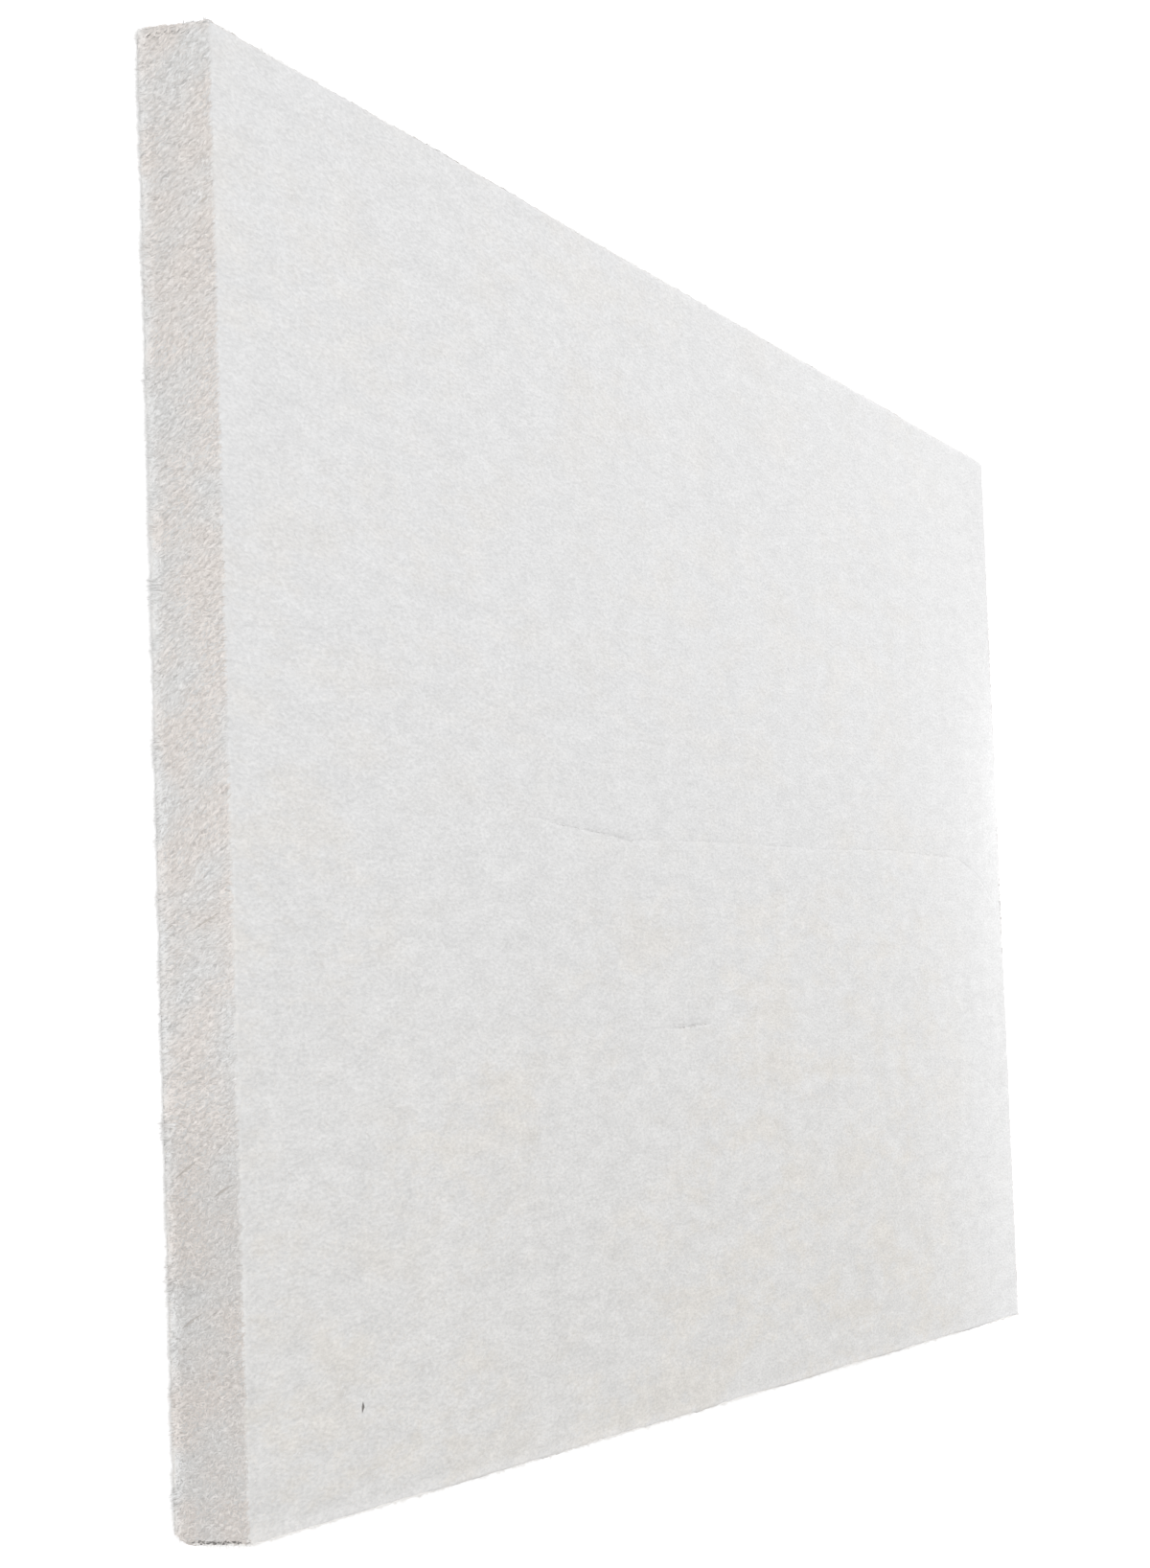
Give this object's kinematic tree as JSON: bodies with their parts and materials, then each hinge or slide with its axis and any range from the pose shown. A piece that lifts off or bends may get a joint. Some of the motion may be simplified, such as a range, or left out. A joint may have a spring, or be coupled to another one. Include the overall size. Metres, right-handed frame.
{
  "type": "fibre wallboard sheet",
  "caption": "Flat rectangular felted-fibre wallboard sheet with open-fibre sawn edges and softly eased arrises, fixed to studs, battens or a wall as a lining.",
  "frame": {"origin": "middle of the back face, which lies on the floor", "axes": "+X along the length, +Y across the width towards the upper long side, +Z out of the front face"},
  "size_m": [1.2, 0.6, 0.033],
  "materials": {
    "felted_fibre": "matte felted off-white fibre, warmer and open-fibred on the sawn edges"
  },
  "bodies": {
    "root": {"board": "felted_fibre"}
  },
  "joints": []
}
